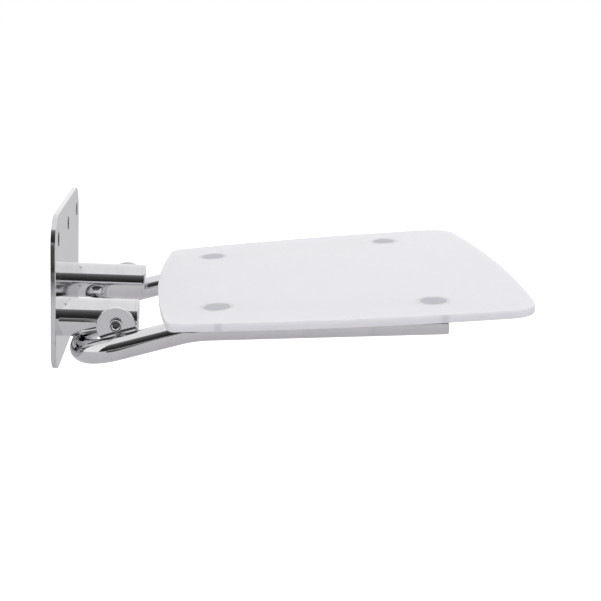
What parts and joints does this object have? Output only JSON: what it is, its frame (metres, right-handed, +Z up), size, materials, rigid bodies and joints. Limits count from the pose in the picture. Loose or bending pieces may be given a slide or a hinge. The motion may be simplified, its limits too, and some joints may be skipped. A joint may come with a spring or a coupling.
{
  "type": "wall-mounted folding shower seat",
  "caption": "Wall-mounted folding shower seat: opal acrylic panel on a bent polished steel tube frame, hinged on arms from a wall plate.",
  "frame": {"origin": "centre of the wall plate's back face, on the wall plane", "axes": "+Z up, +X to the right when facing the wall, +Y into the wall; the seat reaches out along -Y"},
  "size_m": [0.388, 0.4796, 0.16],
  "materials": {
    "polished_steel": "mirror polished stainless steel",
    "satin_steel": "fine satin, turned",
    "insert_steel": "plain turned",
    "opal_acrylic": "gloss, opal white, lets a little light through",
    "nylon": "matt natural nylon"
  },
  "bodies": {
    "wall_bracket": {"wall_plate": "polished_steel", "arm_tube_left": "polished_steel", "arm_tube_right": "polished_steel", "arm_cap_left": "polished_steel", "arm_cap_right": "polished_steel", "pivot_boss_left": "polished_steel", "pivot_boss_right": "polished_steel", "pivot_screw_left": "polished_steel", "pivot_screw_right": "polished_steel"},
    "folding_seat": {"frame_tube": "polished_steel", "hinge_ear_left": "polished_steel", "hinge_ear_right": "polished_steel", "hinge_bush_left": "nylon", "hinge_bush_right": "nylon", "rail_cap_left": "polished_steel", "rail_cap_right": "polished_steel", "seat_panel": "opal_acrylic", "seat_stud_rear_left": "satin_steel", "seat_stud_rear_right": "satin_steel", "seat_stud_front_left": "satin_steel", "seat_stud_front_right": "satin_steel", "seat_saddle_rear_left": "nylon", "seat_saddle_rear_right": "nylon", "seat_saddle_front_left": "nylon", "seat_saddle_front_right": "nylon", "rail_insert_rear_left": "insert_steel", "rail_insert_rear_right": "insert_steel", "rail_insert_front_left": "insert_steel", "rail_insert_front_right": "insert_steel"}
  },
  "joints": [
    {"name": "seat_fold", "type": "hinge", "parent": "wall_bracket", "child": "folding_seat", "pos_m": [0, -0.0635, -0.027], "axis": [-1, 0, 0], "range_deg": [0, 90]}
  ]
}
